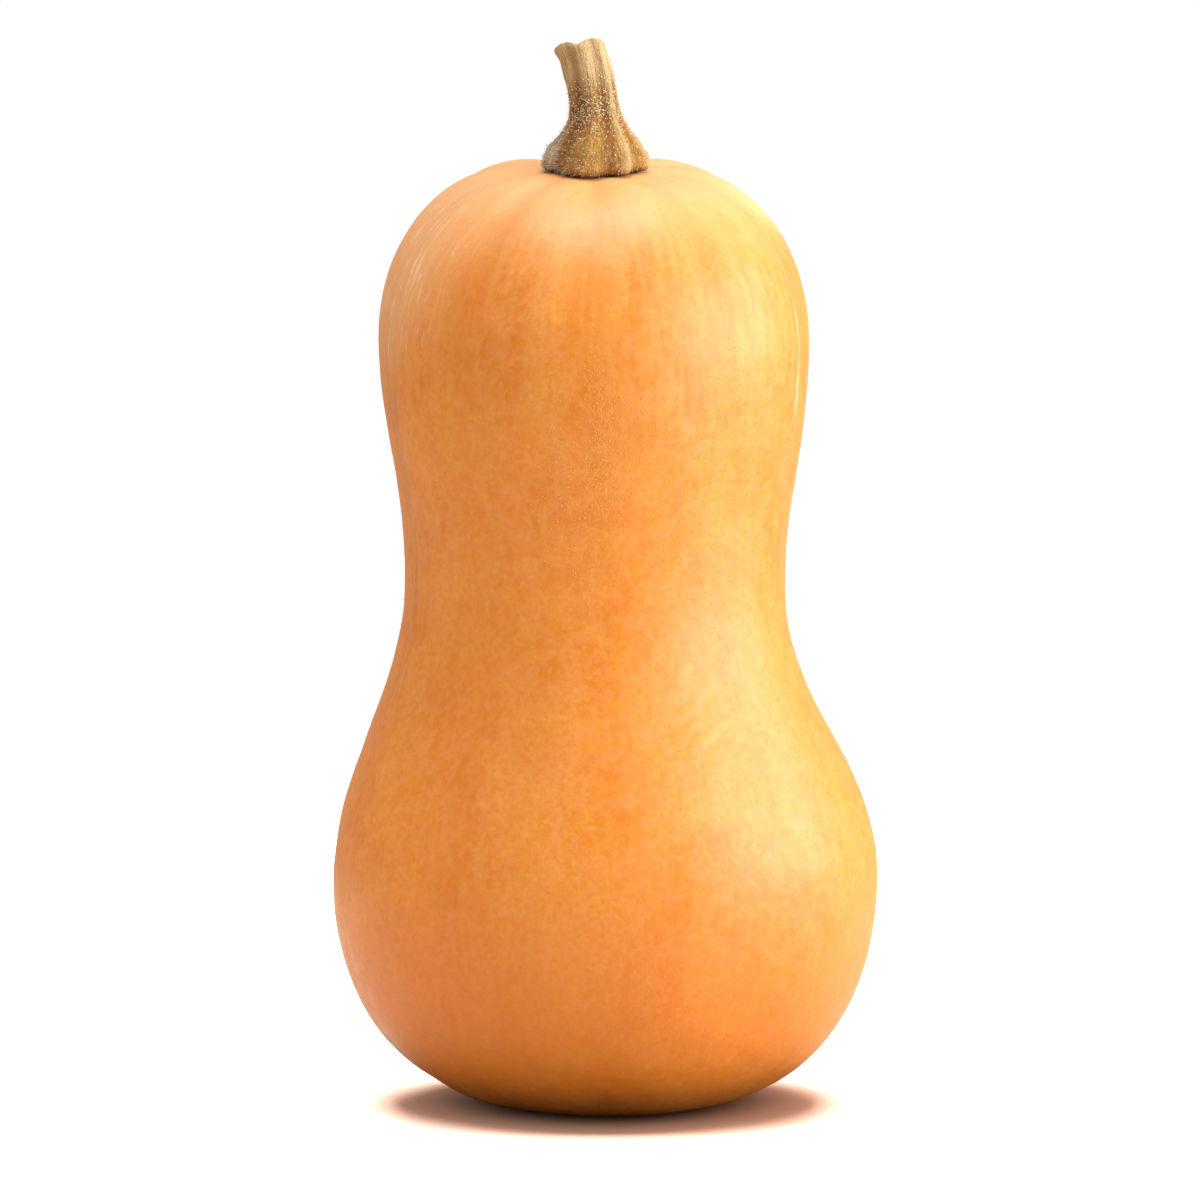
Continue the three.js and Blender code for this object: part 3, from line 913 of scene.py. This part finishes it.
def makeStalkMaterial():
    material, tree, coords, shader = startMaterial("dryStalk")
    look = {name: linear(*colour) for name, colour in stalkLook["colours"].items()}
    fades, strengths = stalkLook["fades"], stalkLook["strengths"]
    along, relief, cut, around = (addNode(tree, "ShaderNodeAttribute", attribute_name=name).outputs["Fac"]
                                  for name in ("along", "relief", "cut", "around"))
    fibre = addNode(tree, "ShaderNodeAttribute", attribute_name="fibre").outputs["Vector"]
    fibres, fine = (placeGroup(tree, streak, {"Vector": fibre, **stalkLook[name]})
                    for name in ("fibres", "fine"))
    blotches, crumbs = (placeGroup(tree, mottle, {"Vector": coords, **stalkLook[name]})
                        for name in ("blotches", "crumbs"))
    lower = mixColours(tree, crumbs, look["olive"], look["golden"])
    blotched = calculate(tree, "MULTIPLY", blotches, strengths["blotches"])
    lower = mixColours(tree, blotched, lower, look["brown"])
    middle = mixColours(tree, crumbs, look["golden"], look["brown"])
    colour = mixColours(tree, rangeOf(tree, along, *fades["middle"]), lower, middle)
    wavering = calculate(tree, "MULTIPLY_ADD", fibres, stalkLook["waver"], along)
    colour = mixColours(tree, rangeOf(tree, wavering, *fades["straw"]), colour, look["straw"])
    dry = calculate(tree, "MULTIPLY", fine, rangeOf(tree, along, *fades["dry"]))
    colour = mixColours(tree, dry, colour, look["straw"])
    lined = calculate(tree, "MULTIPLY", fibres, strengths["fibres"])
    colour = mixColours(tree, lined, colour, look["brown"])
    # painted shade: the stalk's grooves are made darker brown
    sunken = calculate(tree, "SUBTRACT", 1.0, rangeOf(tree, relief, -0.6, 0.6))
    depth = calculate(tree, "MULTIPLY", sunken, rangeOf(tree, along, *fades["grooves"]))
    colour = mixColours(tree, depth, colour, look["brown"])
    # painted highlight: ridge crests on the right side, towards the right lamp, are made paler straw
    onRight = rangeOf(tree, around, *stalkLook["highlightedRightCrests"])
    crestHighlight = calculate(tree, "MULTIPLY", rangeOf(tree, relief, 0.5, 1.0), onRight)
    colour = mixColours(tree, crestHighlight, colour, look["straw"])
    leftToe = rangeOf(tree, along, *fades["leftToe"])
    for ends in stalkLook["leftToe"]:
        leftToe = calculate(tree, "MULTIPLY", leftToe, rangeOf(tree, around, *ends))
    browned = calculate(tree, "MULTIPLY", leftToe, strengths["leftToe"])
    colour = mixColours(tree, browned, colour, look["brown"])
    hatched = calculate(tree, "MULTIPLY", leftToe, rangeOf(tree, fine, *stalkLook["hatching"]))
    colour = mixColours(tree, hatched, colour, look["grey"])
    # painted shadow: the stalk's lowest part, where it sits on the crown, is made dark
    colour = mixColours(tree, rangeOf(tree, along, *fades["seam"]), colour, look["dark"])
    colour = mixColours(tree, calculate(tree, "MULTIPLY", cut, strengths["cut"]), colour, look["pith"])
    tree.links.new(colour, shader["Base Color"])
    bumps = stalkLook["bump"]
    warts = placeGroup(tree, specks, {"Vector": coords, **stalkLook["warts"]})
    height = calculate(tree, "MULTIPLY_ADD", warts, bumps["warts"], fine)
    height = calculate(tree, "MULTIPLY_ADD", fibres, bumps["fibres"], height)
    height = calculate(tree, "MULTIPLY_ADD", crumbs, bumps["crumbs"], height)
    bump = addNode(tree, "ShaderNodeBump", {"Strength": bumps["strength"], "Distance": bumps["distance"],
                   "Height": height})
    tree.links.new(bump.outputs[0], shader["Normal"])
    shader["Roughness"].default_value = stalkLook["roughness"]
    shader["Specular IOR Level"].default_value = stalkLook["specular"]
    return material


def makePaleMaterial(name, piece):  # the piece's colour, here and there a shade darker
    material, tree, coords, shader = startMaterial(name)
    tone = placeGroup(tree, mottle, {"Vector": coords, "Size": 0.0012, "Warp": 0.0, "Low": 0.3, "High": 0.7})
    colour = linear(*piece["colour"])
    darker = tuple(channel * piece["shade"] for channel in colour[:3]) + (1,)
    tree.links.new(mixColours(tree, tone, darker, colour), shader["Base Color"])
    shader["Roughness"].default_value = 0.6
    return material


# The camera stands where the photograph was taken from: metres, degrees.
view = {"target": (-0.0012, 0, 0.1139), "elevation": 6, "distance": 2.5, "seen": 0.27, "sensor": 36}


def makeCamera():
    data = bpy.data.cameras.new("camera")
    data.sensor_width = view["sensor"]
    data.lens = view["sensor"] * view["distance"] / view["seen"]
    data.clip_start, data.clip_end = 0.1, 40
    camera = bpy.data.objects.new("camera", data)
    up = math.radians(view["elevation"])
    back = Vector((0, -math.cos(up), math.sin(up)))
    camera.location = Vector(view["target"]) + back * view["distance"]
    camera.rotation_euler = (-back).to_track_quat("-Z", "Y").to_euler()
    bpy.context.scene.collection.objects.link(camera)
    bpy.context.scene.camera = camera


# Soft boxes: place and size in metres, power in watts, colour, and whether the piece, floor or all is lit.
lights = {
    "above": {"place": (0, 0.1, 1.4), "size": (0.7, 0.7), "power": 9,
              "colour": (1, 0.98, 0.95), "lights": "all"},
    "right": {"place": (1.05, -0.2, 0.42), "size": (1.3, 0.9), "power": 24.3,
              "colour": (0.86, 0.97, 1), "lights": "piece"},
    "overFloor": {"place": (0, 0.25, 1.5), "size": (1.3, 1.6), "power": 190,
                  "colour": (1, 1, 1), "lights": "floor"},
}

# The room's light by direction: two values of the direction, and the light at each. The floor is in metres.
room = {
    "middle": (0, 0, 0.12),
    "colour": (0.955, 0.94, 0.85, 1),
    "overhead": (0.0, 0.9, 0.6, 0.94),
    "behind": (0.1, 0.8, 0.0, 0.05),
    "corner": (-0.5, 0.87, 0),
    "dimmed": (0.35, 0.95, 0.0, -0.25),
    "seen": 1.0,
    "floorRadius": 0.9,
    "floorWhite": (0.18, 0.166, 0.142, 1),
    # floorSeen: a warm colour that clips to white where the floor is lit, so the shadow shows a painted warm
    # bounce
    "floorSeen": (0.78, 0.55, 0.45, 1),
    "fade": (0.3, 0.6),
}


def makeLights(floor):
    only = {name: bpy.data.collections.new(name) for name in ("floor", "piece")}
    for collection in only.values():
        collection.objects.link(floor)
    only["piece"].collection_objects[0].light_linking.link_state = "EXCLUDE"
    for name, light in lights.items():
        data = bpy.data.lights.new(name, "AREA")
        data.shape = "RECTANGLE"
        data.size, data.size_y = light["size"]
        data.energy, data.color = light["power"], light["colour"]
        lamp = bpy.data.objects.new(name, data)
        lamp.location = light["place"]
        aim = Vector(room["middle"]) - lamp.location
        lamp.rotation_euler = aim.to_track_quat("-Z", "Y").to_euler()
        lamp.visible_camera = False
        bpy.context.scene.collection.objects.link(lamp)
        if light["lights"] != "all":
            lamp.light_linking.receiver_collection = only[light["lights"]]
    makeWorld()


def makeWorld():  # brightest overhead, dimmer at the left behind, and the camera sees plain white
    world = bpy.data.worlds.new("studio")
    world.use_nodes = True
    tree = world.node_tree
    coords = addNode(tree, "ShaderNodeTexCoord").outputs["Generated"]
    way = addNode(tree, "ShaderNodeSeparateXYZ", {0: coords}).outputs
    overhead = rangeOf(tree, way["Z"], *room["overhead"])
    strength = calculate(tree, "ADD", overhead, rangeOf(tree, way["Y"], *room["behind"]))
    corner = addNode(tree, "ShaderNodeVectorMath", {0: coords, 1: room["corner"]}, operation="DOT_PRODUCT")
    dimmed = rangeOf(tree, corner.outputs["Value"], *room["dimmed"])
    strength = calculate(tree, "ADD", strength, dimmed)
    tree.links.new(strength, tree.nodes["Background"].inputs["Strength"])
    tree.nodes["Background"].inputs["Color"].default_value = room["colour"]
    seen = addNode(tree, "ShaderNodeBackground", {"Color": (1, 1, 1, 1), "Strength": room["seen"]})
    rays = addNode(tree, "ShaderNodeLightPath").outputs["Is Camera Ray"]
    both = addNode(tree, "ShaderNodeMixShader",
                   {0: rays, 1: tree.nodes["Background"].outputs[0], 2: seen.outputs[0]})
    tree.links.new(both.outputs[0], tree.nodes["World Output"].inputs["Surface"])
    bpy.context.scene.world = world


def makeFloor():
    bm = bmesh.new()
    bmesh.ops.create_circle(bm, cap_ends=True, segments=96, radius=room["floorRadius"])
    mesh = bpy.data.meshes.new("floor")
    bm.to_mesh(mesh)
    bm.free()
    material, tree, coords, shader = startMaterial("paleFloor")
    rays = addNode(tree, "ShaderNodeLightPath").outputs["Is Camera Ray"]
    # the camera sees floorSeen, whose warm tint is painted warm bounce light in the shadow
    tree.links.new(mixColours(tree, rays, room["floorWhite"], room["floorSeen"]), shader["Base Color"])
    away = addNode(tree, "ShaderNodeVectorMath", {0: coords}, operation="LENGTH").outputs["Value"]
    tree.links.new(rangeOf(tree, away, *room["fade"], 1.0, 0.0), shader["Alpha"])
    shader["Roughness"].default_value = 0.9
    shader["Specular IOR Level"].default_value = 0.1
    mesh.materials.append(material)
    floor = bpy.data.objects.new("floor", mesh)
    bpy.context.scene.collection.objects.link(floor)
    return floor


makeCamera()
makeLights(makeFloor())
bpy.context.scene.view_settings.view_transform = "Standard"
print("camera, lights and floor are in place")

rind = makeRind()
fruitPiece = buildFruit(rind)
print("fruit", len(fruitPiece.data.vertices), "vertices")
pimplePiece = buildPimples(makePaleMaterial("palePimple", pimples))
print("pimples", len(pimplePiece.data.polygons), "faces")
stalkPiece = buildStalk(makeStalkMaterial())
print("stalk", len(stalkPiece.data.vertices), "vertices")
stubPiece = buildStubs(makePaleMaterial("paleStub", stubs))
hairPiece = buildHairs(makePaleMaterial("paleHair", hairs))
print("stubs and hairs", len(stubPiece.data.polygons) + len(hairPiece.data.polygons), "faces")
